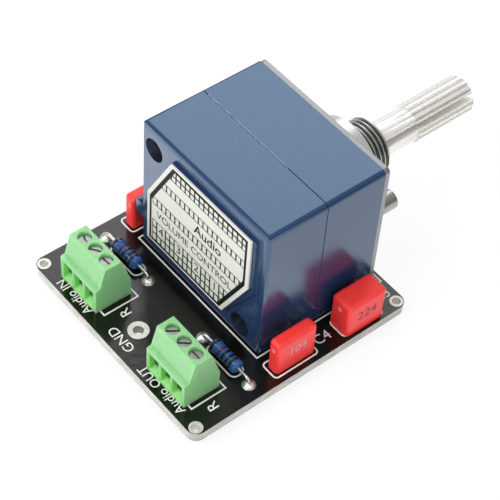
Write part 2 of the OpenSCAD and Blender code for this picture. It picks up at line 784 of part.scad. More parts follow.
module small_cap_left_leads() cap_leads(-1, -small_cap_y);
module small_cap_right_leads() cap_leads(1, -small_cap_y);
module large_cap_left_leads() cap_leads(-1, large_cap_y);
module large_cap_right_leads() cap_leads(1, large_cap_y);

// Resistors

module resistor(s)
    color(blue) translate([s * res_x, -res_y, top + res_z]) rotate([0, 90, 0]) rotate_extrude() {
        edge = res_end_l / 3;
        for (m = [0, 1]) mirror([0, m]) translate([0, res_l / 2 - res_end_l]) {
            square([res_d / 2 - edge, res_end_l]);
            translate([0, edge]) square([res_d / 2, res_end_l - 2 * edge]);
            for (y = [edge, res_end_l - edge]) translate([res_d / 2 - edge, y]) circle(edge);
        }
        translate([0, -res_l / 2 + res_end_l / 2]) square([res_waist_d / 2, res_l - res_end_l]);
    }

module resistor_left() resistor(-1);
module resistor_right() resistor(1);

// a lead leaves the body along X and bends down into the board
module resistor_lead() {
    r = res_lead_d / 2;
    translate([res_l / 2, 0, res_z]) rotate([0, 90, 0])
        cylinder(h = res_pitch / 2 - res_l / 2 - res_bend, r = r);
    translate([res_pitch / 2 - res_bend, 0, res_z - res_bend]) rotate([90, 0, 0])
        rotate_extrude(angle = 90) translate([res_bend, 0]) circle(r);
    translate([res_pitch / 2, 0, -board_t - tail_l])
        cylinder(h = board_t + tail_l + res_z - res_bend, r = r);
}

module resistor_leads(s)
    color(tin) translate([s * res_x, -res_y, top]) {
        resistor_lead();
        mirror([1, 0, 0]) resistor_lead();
    }

module resistor_left_leads() resistor_leads(-1);
module resistor_right_leads() resistor_leads(1);

// Solder

// a cone under the board round a lead of radius r in a hole of radius hole_r
module solder_cone(r, hole_r)
    translate([0, 0, -solder_h]) difference() {
        cylinder(h = solder_h, r1 = r + solder_room + 0.1, r2 = hole_r + solder_ring);
        translate([0, 0, -eps]) cylinder(h = solder_h + 2 * eps, r = r + solder_room);
    }

// a round drop on top of the board, cut from a ball
module solder_dome(r, hole_r) {
    foot = hole_r + dome_ring;
    ball = (foot * foot + dome_h * dome_h) / (2 * dome_h);
    difference() {
        intersection() {
            translate([0, 0, dome_h - ball]) sphere(ball);
            cylinder(h = dome_h, r = foot);
        }
        translate([0, 0, -eps]) cylinder(h = dome_h + 2 * eps, r = r + solder_room);
    }
}

module terminal_solder()
    color(tin) for (x = [-term_x, term_x])
        contact_places(x) solder_cone(contact_hole_r - lead_room, contact_hole_r);

module pot_solder()
    color(tin) pin_places() solder_cone(pin_hole_r - lead_room, pin_hole_r);

module capacitor_solder()
    color(tin) cap_lead_places() solder_cone(cap_hole_r - lead_room, cap_hole_r);

module resistor_solder()
    color(tin) res_lead_places() {
        solder_cone(res_hole_r - lead_room, res_hole_r);
        translate([0, 0, top]) solder_dome(res_hole_r - lead_room, res_hole_r);
    }

board();
in_housing();
in_screw_1();
in_screw_2();
in_screw_3();
in_clamp_1();
in_clamp_2();
in_clamp_3();
in_contacts();
out_housing();
out_screw_1();
out_screw_2();
out_screw_3();
out_clamp_1();
out_clamp_2();
out_clamp_3();
out_contacts();
rear_case();
front_case();
label_plate();
front_plate();
bushing();
locating_pin();
upper_rivet();
lower_rivet();
shaft();
retaining_ring();
rear_rotor();
front_rotor();
rear_wiper();
front_wiper();
rear_wafer();
front_wafer();
rear_pins();
front_pins();
small_cap_left();
small_cap_right();
large_cap_left();
large_cap_right();
small_cap_left_leads();
small_cap_right_leads();
large_cap_left_leads();
large_cap_right_leads();
resistor_left();
resistor_right();
resistor_left_leads();
resistor_right_leads();
terminal_solder();
pot_solder();
capacitor_solder();
resistor_solder();
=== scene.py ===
# %% [markdown]
# A small circuit board carries a stereo volume control: a blue two-gang potentiometer with a
# splined shaft, two green screw terminals, two resistors and four red film capacitors. The packed
# parts are loaded first, and everything that follows is built round them in the same frame.
# Lengths are written in millimetres and turned into metres by MM.

import json
import math

import bpy
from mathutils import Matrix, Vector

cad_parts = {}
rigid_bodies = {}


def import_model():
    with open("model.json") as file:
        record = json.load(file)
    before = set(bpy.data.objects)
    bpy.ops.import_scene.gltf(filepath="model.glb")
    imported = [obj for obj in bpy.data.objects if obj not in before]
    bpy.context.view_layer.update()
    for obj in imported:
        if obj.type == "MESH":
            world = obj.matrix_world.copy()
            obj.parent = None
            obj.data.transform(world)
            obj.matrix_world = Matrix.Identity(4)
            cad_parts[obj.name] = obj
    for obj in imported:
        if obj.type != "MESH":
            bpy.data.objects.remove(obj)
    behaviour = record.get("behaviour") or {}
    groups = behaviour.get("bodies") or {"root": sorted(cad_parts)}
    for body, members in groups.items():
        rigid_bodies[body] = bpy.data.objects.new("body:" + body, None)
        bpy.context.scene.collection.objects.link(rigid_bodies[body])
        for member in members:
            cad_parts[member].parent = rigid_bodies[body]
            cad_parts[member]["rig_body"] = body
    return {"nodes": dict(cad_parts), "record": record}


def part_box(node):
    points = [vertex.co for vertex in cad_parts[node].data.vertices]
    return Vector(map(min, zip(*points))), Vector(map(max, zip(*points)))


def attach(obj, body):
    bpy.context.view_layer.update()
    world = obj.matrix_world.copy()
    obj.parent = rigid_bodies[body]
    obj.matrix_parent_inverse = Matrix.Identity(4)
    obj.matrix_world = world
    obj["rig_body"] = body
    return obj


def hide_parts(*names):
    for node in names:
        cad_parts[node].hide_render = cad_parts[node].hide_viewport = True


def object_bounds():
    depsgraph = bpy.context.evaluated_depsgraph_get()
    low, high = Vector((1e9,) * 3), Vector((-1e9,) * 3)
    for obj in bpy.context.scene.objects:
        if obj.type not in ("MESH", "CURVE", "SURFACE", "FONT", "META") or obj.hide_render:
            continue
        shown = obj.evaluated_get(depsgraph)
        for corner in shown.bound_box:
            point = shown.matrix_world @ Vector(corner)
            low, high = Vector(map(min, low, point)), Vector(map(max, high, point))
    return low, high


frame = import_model()
MM = 0.001
cad_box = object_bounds()
print("packed nodes:", len(frame["nodes"]))

# %% [markdown]
# The camera looks down on the corner beside the output terminal. Its place and lens were found by
# fitting the board's corners and the case's edges to the photograph, so they are kept as numbers.
# A long lens keeps the board's edges nearly parallel, as in the photograph.

# %% Camera
CAMERA_PLACE = (115.97, -101.53, 188.93)
CAMERA_TURN = (40.516, -3.095, 50.958)
CAMERA_LENS = 121.84
SENSOR = 36.0

bpy.ops.object.select_all(action="DESELECT")
bpy.ops.object.camera_add(
    location=[v * MM for v in CAMERA_PLACE],
    rotation=[math.radians(v) for v in CAMERA_TURN],
)
camera = bpy.context.object
camera.data.lens = CAMERA_LENS
camera.data.sensor_width = SENSOR
camera.data.clip_start = 0.01
camera.data.clip_end = 20.0
bpy.context.scene.camera = camera
bpy.context.scene.view_settings.view_transform = "Standard"
print("camera at", CAMERA_PLACE)

# %% [markdown]
# The board stands on a white table in a dimmer room. The world lights it softly from all round at a
# plain level, while the camera sees it as pure white. A mix by Light Path does both.

# %% World
AMBIENT = 0.50

world = bpy.data.worlds.new("studio")
bpy.context.scene.world = world
world.use_nodes = True


def light_world(tree):
    """Soft light on the object and a white backdrop for the camera."""
    soft = tree.nodes["Background"]
    soft.inputs["Color"].default_value = (1.0, 1.0, 1.0, 1.0)
    soft.inputs["Strength"].default_value = AMBIENT
    white = tree.nodes.new("ShaderNodeBackground")
    white.inputs["Color"].default_value = (1.0, 1.0, 1.0, 1.0)
    white.inputs["Strength"].default_value = 1.0
    path = tree.nodes.new("ShaderNodeLightPath")
    mix = tree.nodes.new("ShaderNodeMixShader")
    tree.links.new(path.outputs["Is Camera Ray"], mix.inputs["Fac"])
    tree.links.new(soft.outputs[0], mix.inputs[1])
    tree.links.new(white.outputs[0], mix.inputs[2])
    tree.links.new(mix.outputs[0], tree.nodes["World Output"].inputs["Surface"])


light_world(world.node_tree)
print("world light", AMBIENT)

# %% [markdown]
# The floor is a pale sheet under the pin tails. It belongs to the stage and not to the object.

# %% Floor
FLOOR_SIZE = 6.0

bpy.ops.object.select_all(action="DESELECT")
bpy.ops.mesh.primitive_plane_add(size=FLOOR_SIZE, location=(0.0, 0.0, cad_box[0].z))
floor = bpy.context.object
floor.name = "floor"
print("floor at", round(cad_box[0].z / MM, 2), "mm")

# %% [markdown]
# Part of the floor's white comes from its own glow, so the background stays white, and part from the
# lamps, so the board's shadow still falls on it. Mirror reflections see it brighter, most of all in
# front, where a real key lamp floods the table.

# %% Finish of the floor
FLOOR_GLOW = 0.86
FLOOR_PALE = 0.15
FLOOR_BOUNCE = 0.80
MIRRORED_BACK = 1.28
MIRRORED_FRONT = 2.0
FLOOD_EDGE = 15.0


def floor_finish():
    """White where it is seen, a plain pale sheet where it throws light back."""
    made = bpy.data.materials.new("floor_sheet")
    made.use_nodes = True
    tree = made.node_tree
    tree.nodes.remove(tree.nodes["Principled BSDF"])
    bounce = tree.nodes.new("ShaderNodeBsdfDiffuse")
    bounce.inputs["Color"].default_value = (FLOOR_BOUNCE, FLOOR_BOUNCE, FLOOR_BOUNCE, 1.0)
    pale = tree.nodes.new("ShaderNodeBsdfDiffuse")
    pale.inputs["Color"].default_value = (FLOOR_PALE, FLOOR_PALE, FLOOR_PALE, 1.0)
    glow = tree.nodes.new("ShaderNodeEmission")
    glow.inputs["Strength"].default_value = FLOOR_GLOW
    both = tree.nodes.new("ShaderNodeAddShader")
    tree.links.new(pale.outputs[0], both.inputs[0])
    tree.links.new(glow.outputs[0], both.inputs[1])
    place = tree.nodes.new("ShaderNodeTexCoord")
    split = tree.nodes.new("ShaderNodeSeparateXYZ")
    tree.links.new(place.outputs["Object"], split.inputs[0])
    flood = tree.nodes.new("ShaderNodeMapRange")
    flood.inputs["From Min"].default_value = -FLOOD_EDGE * MM
    flood.inputs["From Max"].default_value = FLOOD_EDGE * MM
    flood.inputs["To Min"].default_value = MIRRORED_FRONT
    flood.inputs["To Max"].default_value = MIRRORED_BACK
    tree.links.new(split.outputs["Y"], flood.inputs["Value"])
    bright = tree.nodes.new("ShaderNodeEmission")
    tree.links.new(flood.outputs[0], bright.inputs["Strength"])
    path = tree.nodes.new("ShaderNodeLightPath")
    lit = tree.nodes.new("ShaderNodeMixShader")
    tree.links.new(path.outputs["Is Camera Ray"], lit.inputs["Fac"])
    tree.links.new(bounce.outputs[0], lit.inputs[1])
    tree.links.new(both.outputs[0], lit.inputs[2])
    mix = tree.nodes.new("ShaderNodeMixShader")
    tree.links.new(path.outputs["Is Glossy Ray"], mix.inputs["Fac"])
    tree.links.new(lit.outputs[0], mix.inputs[1])
    tree.links.new(bright.outputs[0], mix.inputs[2])
    tree.links.new(mix.outputs[0], tree.nodes["Material Output"].inputs["Surface"])
    return made


floor.data.materials.append(floor_finish())
print("floor glow", FLOOR_GLOW, "and mirrored glow", MIRRORED_BACK, "to", MIRRORED_FRONT)

# %% [markdown]
# Four square soft lamps add direction. The key stands high over the terminal side, and a low one under
# it lifts the label and the terminals' fronts. The one behind and to the left is placed where the top of
# the glossy case mirrors it towards the camera. A weak one on the right lifts the capacitors.

# %% Lamps
LAMPS = {
    "key": {"towards": (-0.13, -0.61, 0.78), "distance": 0.80, "size": 0.50, "watts": 3.2},
    "front_fill": {"towards": (-0.30, -0.90, 0.32), "distance": 0.80, "size": 0.60, "watts": 1.5},
    "back_softbox": {"towards": (-0.591, 0.513, 0.623), "distance": 0.70, "size": 0.40, "watts": 1.32},
    "right_fill": {"towards": (0.69, -0.17, 0.70), "distance": 0.80, "size": 0.60, "watts": 1.5},
}


def add_lamp(name, towards, distance, size, watts):
    """A square area lamp that faces the middle of the board."""
    bpy.ops.object.light_add(type="AREA", location=[v * distance for v in towards])
    lamp = bpy.context.object
    lamp.name = name
    lamp.data.size = size
    lamp.data.energy = watts
    lamp.rotation_euler = lamp.location.to_track_quat("Z", "Y").to_euler()


for lamp_name, setting in LAMPS.items():
    add_lamp(lamp_name, **setting)
print("lamps:", ", ".join(LAMPS))

# %% [markdown]
# In a room that is white all round, bright metal has no edges. A studio hangs dim cloth round the table
# for it. Here a ring of grey wall stands round the floor. Only reflections see it, so it takes no light
# away and never shows in a picture.

# %% Dim walls
WALL_RADIUS = 1.2
WALL_HEIGHT = 0.85
WALL_GREY = (0.16, 0.1568, 0.1472, 1.0)

bpy.ops.object.select_all(action="DESELECT")
bpy.ops.mesh.primitive_cylinder_add(
    vertices=64, radius=WALL_RADIUS, depth=WALL_HEIGHT, end_fill_type="NOTHING",
    location=(0.0, 0.0, cad_box[0].z + WALL_HEIGHT / 2.0),
)
walls = bpy.context.object
walls.name = "dim_walls"
walls.visible_camera = False
walls.visible_diffuse = False
walls.visible_transmission = False
walls.visible_shadow = False


def wall_finish():
    """An even grey that needs no lamp."""
    made = bpy.data.materials.new("dim_cloth")
    made.use_nodes = True
    tree = made.node_tree
    tree.nodes.remove(tree.nodes["Principled BSDF"])
    grey = tree.nodes.new("ShaderNodeEmission")
    grey.inputs["Color"].default_value = WALL_GREY
    tree.links.new(grey.outputs[0], tree.nodes["Material Output"].inputs["Surface"])
    return made


walls.data.materials.append(wall_finish())
print("dim walls", WALL_HEIGHT, "m high")

# %% [markdown]
# Every surface of the real board has some life: grain in moulded plastic, fine turning marks on metal, a
# little waviness in lacquer. One helper builds such a finish. Noise on Object coordinates blends two
# close colours, sways the roughness and lifts a fine bump. Colours are written as they look, from 0 to
# 255, and turned into the linear values that shaders use.

# %% Helper for finishes
NOISE_SPREAD = (0.3, 0.7)


def tone(red, green, blue):
    """A colour as it looks on a screen, turned linear."""
    shares = [v / 255.0 for v in (red, green, blue)]
    return [((v + 0.055) / 1.055) ** 2.4 if v > 0.04045 else v / 12.92 for v in shares] + [1.0]


def blend(ramp, spread, dark, light):
    """Sets a ramp's two ends: where they stand and which colours they have."""
    for stop, position, colour in zip(ramp.elements, spread, (dark, light)):
        stop.position = position
        stop.color = tone(*colour)


def finish(name, dark, light, grain, rough, bump, metal=0.0):
    """A procedural finish: two colours, grain in millimetres, a range of roughness, bump and metal."""
    made = bpy.data.materials.new(name)
    made.use_nodes = True
    tree = made.node_tree
    shader = tree.nodes["Principled BSDF"]
    shader.inputs["Metallic"].default_value = metal
    place = tree.nodes.new("ShaderNodeTexCoord")
    noise = tree.nodes.new("ShaderNodeTexNoise")
    noise.inputs["Scale"].default_value = 1.0 / (grain * MM)
    noise.inputs["Detail"].default_value = 3.0
    tree.links.new(place.outputs["Object"], noise.inputs["Vector"])
    tint = tree.nodes.new("ShaderNodeValToRGB")
    blend(tint.color_ramp, NOISE_SPREAD, dark, light)
    tree.links.new(noise.outputs["Fac"], tint.inputs["Fac"])
    tree.links.new(tint.outputs["Color"], shader.inputs["Base Color"])
    sway = tree.nodes.new("ShaderNodeMapRange")
    sway.inputs["To Min"].default_value = rough[0]
    sway.inputs["To Max"].default_value = rough[1]
    tree.links.new(noise.outputs["Fac"], sway.inputs["Value"])
    tree.links.new(sway.outputs[0], shader.inputs["Roughness"])
    lift = tree.nodes.new("ShaderNodeBump")
    lift.inputs["Strength"].default_value = bump
    lift.inputs["Distance"].default_value = grain * MM
    tree.links.new(noise.outputs["Fac"], lift.inputs["Height"])
    tree.links.new(lift.outputs[0], shader.inputs["Normal"])
    return made


print("finish helper ready")

# %% [markdown]
# Most finishes need only that helper. The case is glossy blue plastic, the terminals satin green, the
# capacitors satin red. The shaft, plate and bushing are bright metal; the rivets get a dark finish, which
# is painted shade for their sunk holes.

# %% Plain finishes
FINISHES = {
    "green_plastic": finish("green_plastic", (139, 197, 137), (149, 205, 146), 0.8, (0.36, 0.46), 0.03),
    "case_plastic": finish("case_plastic", (32, 53, 89), (36, 58, 95), 0.5, (0.16, 0.22), 0.004),
    "label_metal": finish("label_metal", (218, 218, 211), (227, 227, 220), 0.25, (0.45, 0.6), 0.05),
    "plated_steel": finish("plated_steel", (142, 144, 147), (154, 156, 159), 0.6, (0.38, 0.5), 0.02, 1.0),
    "bushing_metal": finish("bushing_metal", (212, 212, 210), (228, 228, 226), 0.5, (0.35, 0.5), 0.02, 0.9),
    "pin_metal": finish("pin_metal", (158, 159, 154), (176, 177, 172), 0.5, (0.3, 0.45), 0.03, 1.0),
    "shaft_metal": finish("shaft_metal", (244, 242, 238), (252, 251, 248), 0.5, (0.45, 0.58), 0.02, 0.6),
    "rotor_plastic": finish("rotor_plastic", (226, 224, 214), (236, 234, 226), 0.7, (0.45, 0.6), 0.03),
    "spring_brass": finish("spring_brass", (206, 172, 104), (222, 190, 122), 0.4, (0.25, 0.4), 0.03, 1.0),
    "wafer_board": finish("wafer_board", (132, 88, 52), (150, 104, 64), 0.4, (0.5, 0.7), 0.05),
    "tinned_pins": finish("tinned_pins", (206, 206, 206), (228, 228, 228), 0.3, (0.2, 0.35), 0.05, 1.0),
    "solder": finish("solder", (214, 213, 206), (244, 243, 237), 0.45, (0.22, 0.42), 0.4, 0.9),
    # The screws' steel is kept darker than bright steel, as painted shade for heads deep in their wells.
    "screw_steel": finish("screw_steel", (132, 135, 132), (166, 169, 165), 0.4, (0.28, 0.42), 0.04, 1.0),
    "clamp_brass": finish("clamp_brass", (196, 186, 156), (214, 206, 180), 0.4, (0.25, 0.4), 0.03, 1.0),
    "red_plastic": finish("red_plastic", (250, 55, 52), (255, 62, 58), 0.6, (0.4, 0.52), 0.04),
}
# The rivets' dark colour is painted shade, for rivets sunk in the case's holes.
rivet_painted_shade = finish("rivet_painted_shade", (24, 25, 28), (38, 39, 42), 0.4, (0.4, 0.55), 0.05, 1.0)
thread_dark = finish("thread_dark", (128, 132, 130), (150, 154, 152), 0.3, (0.3, 0.45), 0.05, 1.0)
silk_white = finish("silk_white", (226, 226, 222), (244, 244, 242), 0.25, (0.5, 0.65), 0.05)
label_ink = finish("label_ink", (14, 14, 12), (22, 22, 20), 0.3, (0.5, 0.6), 0.03)
pad_plating = finish("pad_plating", (222, 221, 212), (246, 245, 238), 0.35, (0.35, 0.55), 0.3, 0.6)
print("finishes by slot:", len(FINISHES))

# %% [markdown]
# Three of them get a last touch. Printing ink is dull, so it hardly reflects. The case's polish reflects
# more than common plastic does, and a little blue. Light goes a little way into the green plastic.

# %% Last touches
INK_SHINE = 0.15
CASE_IOR = 1.72
CASE_TINT = (0.55, 0.8, 1.0, 1.0)
GREEN_SHARE = 0.7
GREEN_DEPTH = (0.7, 1.4, 0.6)


def adjust(material, **settings):
    """Sets inputs of a finish's shader, named with low lines in place of blanks."""
    inputs = material.node_tree.nodes["Principled BSDF"].inputs
    for name, value in settings.items():
        inputs[name.replace("_", " ")].default_value = value


def let_light_in(material):
    """Lets light go a little way into the green plastic."""
    adjust(material, Subsurface_Weight=GREEN_SHARE, Subsurface_Radius=GREEN_DEPTH, Subsurface_Scale=MM)


adjust(label_ink, Specular_IOR_Level=INK_SHINE)
adjust(FINISHES["case_plastic"], IOR=CASE_IOR, Specular_Tint=CASE_TINT)
let_light_in(FINISHES["green_plastic"])
print("the case refracts at", CASE_IOR)

# %% [markdown]
# The board is black mask over glass laminate. Its flat faces show the mask with a faint noisy bump, and its
# cut edges show pale grey glass in thin layers. Both live in one material: the normal tells a flat face
# from a cut edge.

# %% Board finish
MASK_SHINE = 0.42
EDGE_LAYER = 0.25
LAYER_STRETCH = (0.15, 0.15, 1.0)
LAYER_SPREAD = (0.35, 0.65)
FLAT_NORMAL = 0.5


def laminate_finish():
    """Black mask on the flat faces and layered glass on the cut edges."""
    made = finish("board_laminate", (13, 14, 11), (19, 20, 16), 1.6, (0.15, 0.22), 0.02)
    tree = made.node_tree
    shader = tree.nodes["Principled BSDF"]
    shader.inputs["Specular IOR Level"].default_value = MASK_SHINE
    mask = shader.inputs["Base Color"].links[0].from_socket
    place = tree.nodes.new("ShaderNodeTexCoord")
    layers = tree.nodes.new("ShaderNodeMapping")
    layers.inputs["Scale"].default_value = LAYER_STRETCH
    tree.links.new(place.outputs["Object"], layers.inputs["Vector"])
    glass = tree.nodes.new("ShaderNodeTexNoise")
    glass.inputs["Scale"].default_value = 1.0 / (EDGE_LAYER * MM)
    tree.links.new(layers.outputs[0], glass.inputs["Vector"])
    fibre = tree.nodes.new("ShaderNodeValToRGB")
    blend(fibre.color_ramp, LAYER_SPREAD, (150, 149, 142), (192, 190, 182))
    tree.links.new(glass.outputs["Fac"], fibre.inputs["Fac"])
    shape = tree.nodes.new("ShaderNodeNewGeometry")
    split = tree.nodes.new("ShaderNodeSeparateXYZ")
    tree.links.new(shape.outputs["Normal"], split.inputs[0])
    height = tree.nodes.new("ShaderNodeMath")
    height.operation = "ABSOLUTE"
    tree.links.new(split.outputs["Z"], height.inputs[0])
    flat = tree.nodes.new("ShaderNodeMath")
    flat.operation = "GREATER_THAN"
    flat.inputs[1].default_value = FLAT_NORMAL
    tree.links.new(height.outputs[0], flat.inputs[0])
    mix = tree.nodes.new("ShaderNodeMix")
    mix.data_type = "RGBA"
    tree.links.new(flat.outputs[0], mix.inputs["Factor"])
    tree.links.new(fibre.outputs["Color"], mix.inputs[6])
    tree.links.new(mask, mix.inputs[7])
    tree.links.new(mix.outputs[2], shader.inputs["Base Color"])
    return made


FINISHES["board_laminate"] = laminate_finish()
print("board finish made")

# %% [markdown]
# A resistor is dipped in blue lacquer and carries painted bands across its axis. The bands are a
# colour ramp along X. A Mapping node moves the ramp's middle to each resistor, so two materials differ
# only by that place.

# %% Resistor finish
BANDS = [(-2.1, "brown"), (-0.7, "red"), (0.1, "black"), (0.95, "black"), (1.75, "brown")]
BAND_WIDTH = 0.42
BAND_COLOURS = {"black": (14, 16, 24), "brown": (40, 28, 34), "red": (84, 34, 56)}
LACQUER = (46, 92, 156)


def lacquer_finish(name, middle, half):
    """Blue lacquer with bands, centred on middle and half a body long either way, in metres."""
    made = finish(name, LACQUER, LACQUER, 0.5, (0.08, 0.16), 0.03)
    tree = made.node_tree
    shader = tree.nodes["Principled BSDF"]
    place = tree.nodes.new("ShaderNodeTexCoord")
    move = tree.nodes.new("ShaderNodeMapping")
    move.inputs["Location"].default_value = (0.5 - middle / (2.0 * half), 0.0, 0.0)
    move.inputs["Scale"].default_value = (1.0 / (2.0 * half), 1.0, 1.0)
    tree.links.new(place.outputs["Object"], move.inputs["Vector"])
    along = tree.nodes.new("ShaderNodeSeparateXYZ")
    tree.links.new(move.outputs[0], along.inputs[0])
    paint = tree.nodes.new("ShaderNodeValToRGB")
    ramp = paint.color_ramp
    ramp.interpolation = "CONSTANT"
    blend(ramp, (0.0, 0.999), LACQUER, LACQUER)
    for centre, colour in BANDS:
        start = 0.5 + (centre - BAND_WIDTH / 2.0) * MM / (2.0 * half)
        end = 0.5 + (centre + BAND_WIDTH / 2.0) * MM / (2.0 * half)
        ramp.elements.new(start).color = tone(*BAND_COLOURS[colour])
        ramp.elements.new(end).color = tone(*LACQUER)
    tree.links.new(along.outputs["X"], paint.inputs["Fac"])
    tree.links.new(paint.outputs["Color"], shader.inputs["Base Color"])
    return made


resistor_finishes = {}
for node in ("resistor_left", "resistor_right"):
    low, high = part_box(node)
    middle = (low.x + high.x) / 2.0
    resistor_finishes[node] = lacquer_finish(node + "_lacquer", middle, high.x - middle)
print("bands on each resistor:", len(BANDS))

# %% [markdown]
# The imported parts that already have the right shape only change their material. The record says which
# slot each one belongs to, so a loop can dress them all. The resistors and rivets get their own.

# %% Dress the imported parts
slot_of = {part["node"]: part["material_slot"] for part in frame["record"]["subparts"]}
own_finish = dict(resistor_finishes, upper_rivet=rivet_painted_shade, lower_rivet=rivet_painted_shade)


def dress(piece, material):
    """Gives a mesh one material in place of those it has."""
    piece.data.materials.clear()
    piece.data.materials.append(material)


for node, part in frame["nodes"].items():
    dress(part, own_finish.get(node) or FINISHES[slot_of[node]])
print("dressed parts:", len(frame["nodes"]))

# %% [markdown]
# The next helpers are the everyday moves of modelling by hand. One picks a single object, one enters
# edit mode on it, one picks faces by a test on their centre and normal, and one joins several meshes. The
# last settles a finished piece: its place goes into its mesh, it gets a material, and it rides on a body.

# %% Modelling helpers
def pick(piece):
    """Deselects everything, then selects one object and makes it active."""
    bpy.ops.object.select_all(action="DESELECT")
    piece.select_set(True)
    bpy.context.view_layer.objects.active = piece


def edit(piece):
    """Opens one object in edit mode with all of it selected."""
    pick(piece)
    bpy.ops.object.mode_set(mode="EDIT")
    bpy.ops.mesh.select_mode(type="VERT")
    bpy.ops.mesh.select_all(action="SELECT")


def close_edit():
    """Goes back to object mode."""
    bpy.ops.object.mode_set(mode="OBJECT")


def pick_faces(piece, test):
    """In edit mode, selects the faces whose centre and normal pass the test."""
    bpy.ops.mesh.select_mode(type="FACE")
    bpy.ops.mesh.select_all(action="DESELECT")
    close_edit()
    for face in piece.data.polygons:
        face.select = test(face.center, face.normal)
    bpy.ops.object.mode_set(mode="EDIT")


def settle(piece, name, material, body="board_assembly"):
    """Finishes a piece: its place goes into its mesh, and it gets name, material and body."""
    pick(piece)
    bpy.ops.object.transform_apply(location=True, rotation=True, scale=True)
    piece.name = name
    dress(piece, material)
    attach(piece, body)
    return piece


def join(pieces):
    """Joins several meshes into the first."""
    bpy.ops.object.select_all(action="DESELECT")
    for piece in pieces:
        piece.select_set(True)
    bpy.context.view_layer.objects.active = pieces[0]
    bpy.ops.object.join()
    return pieces[0]


print("modelling helpers ready")

# %% [markdown]
# Moulded and stamped edges are never quite sharp, and a thin light line along them tells the eye so. A
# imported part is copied, its loose triangles are merged, flat triangles dissolve into whole faces, and a
# Bevel modifier rounds the sharp edges. Weighted normals keep the large faces flat in the light. The
# copy then stands for the part. A radius of zero only merges and smooths.

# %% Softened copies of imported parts
SHARP = math.radians(32.0)
COPLANAR = math.radians(0.5)
TOUCHING = 0.0005
SOFT_EDGES = {
    "in_housing": 0.08, "out_housing": 0.08, "label_plate": 0.10, "front_plate": 0.14,
    "rear_case": 0.0, "front_case": 0.12, "locating_pin": 0.18, "shaft": 0.0,
    "resistor_left": 0.0, "resistor_right": 0.0, "upper_rivet": 0.12, "lower_rivet": 0.12,
}


def even_light(piece):
    """Smooths all but sharp edges, and keeps large faces flat in the light."""
    pick(piece)
    bpy.ops.object.shade_smooth_by_angle(angle=SHARP)
    flatten = piece.modifiers.new("flatten", "WEIGHTED_NORMAL")
    flatten.weight = 100
    flatten.keep_sharp = True
    bpy.ops.object.modifier_apply(modifier="flatten")


def soften(node, radius):
    """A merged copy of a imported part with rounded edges, which stands for that part."""
    source = frame["nodes"][node]
    piece = bpy.data.objects.new(node + "_soft", source.data.copy())
    bpy.context.scene.collection.objects.link(piece)
    edit(piece)
    bpy.ops.mesh.remove_doubles(threshold=TOUCHING * MM)
    bpy.ops.mesh.dissolve_limited(angle_limit=COPLANAR)
    close_edit()
    if radius:
        rounding = piece.modifiers.new("rounding", "BEVEL")
        rounding.width = radius * MM
        rounding.segments = 3
        rounding.limit_method = "ANGLE"
        rounding.angle_limit = SHARP
        bpy.ops.object.modifier_apply(modifier="rounding")
    even_light(piece)
    settle(piece, node + "_soft", source.data.materials[0], source["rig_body"])
    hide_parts(node)
    return piece


soft_parts = {node: soften(node, radius) for node, radius in SOFT_EDGES.items()}
print("softened parts:", len(soft_parts))

# %% [markdown]
# The two sunk holes of the case and the wire holes of the terminals get a finish of their own, chosen by
# the place of each face. In the case's holes it is rougher than the polished outside and darker, and the
# darker colour is painted shade in the depth. The rivets are painted dark in those holes, as painted
# shade, and bright where they come through the plate.

# %% Holes of the rivets
HAIR = 0.1
RIVET_HOLE = 3.75
RIVET_DEPTH = 2.0

# A rougher blue for the faces inside the sunk holes, whose darker colour is painted shade.
case_hole_painted_shade = finish("case_hole_painted_shade", (14, 26, 48), (20, 34, 58), 0.5, (0.5, 0.65), 0.03)


def refinish(piece, material, test):
    """Gives the faces whose centre passes the test a material of their own."""
    piece.data.materials.append(material)
    chosen = [face for face in piece.data.polygons if test(face.center / MM)]
    for face in chosen:
        face.material_index = len(piece.data.materials) - 1
    return len(chosen)


def in_rivet_hole(c):
    """True inside one of the case's two sunk holes."""
    gap = min(math.hypot(c.x - x, c.z - z) for x, z in rivet_places)
    return gap < RIVET_HOLE / 2.0 + HAIR and case_rear + HAIR < c.y < case_rear + RIVET_DEPTH + HAIR


case_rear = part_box("rear_case")[0].y / MM
plate_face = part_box("front_plate")[0].y / MM
rivet_places = []
for node in ("upper_rivet", "lower_rivet"):
    low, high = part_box(node)
    rivet_places.append(((low.x + high.x) / 2.0 / MM, (low.z + high.z) / 2.0 / MM))
    refinish(soft_parts[node], FINISHES["pin_metal"], lambda c: c.y > plate_face)
print("dull faces in the case:", refinish(soft_parts["rear_case"], case_hole_painted_shade, in_rivet_hole))

# %% [markdown]
# In a wire hole of a terminal the walls are painted a brighter green, as painted light for the light that
# comes through the thin plastic, and then the green is painted darker into the depth, as painted shade
# where the clamp behind it lies in the dark. So the colour follows the depth.

# %% Wire holes
ENTRY_DEPTH = 1.2
ENTRY_FADE = (0.85, 1.2)
ENTRY_HEIGHT = (0.35, 4.05)
ENTRY_PAINTED_SHADE = (16, 34, 16)

# The wire holes' walls are a brighter green, which is painted light, darkening into painted shade deep
# inside.
wire_hole_painted_light_and_shade = finish("wire_hole_painted_light_and_shade", (142, 222, 122), (152, 230, 130), 0.8, (0.5, 0.6), 0.03)
let_light_in(wire_hole_painted_light_and_shade)


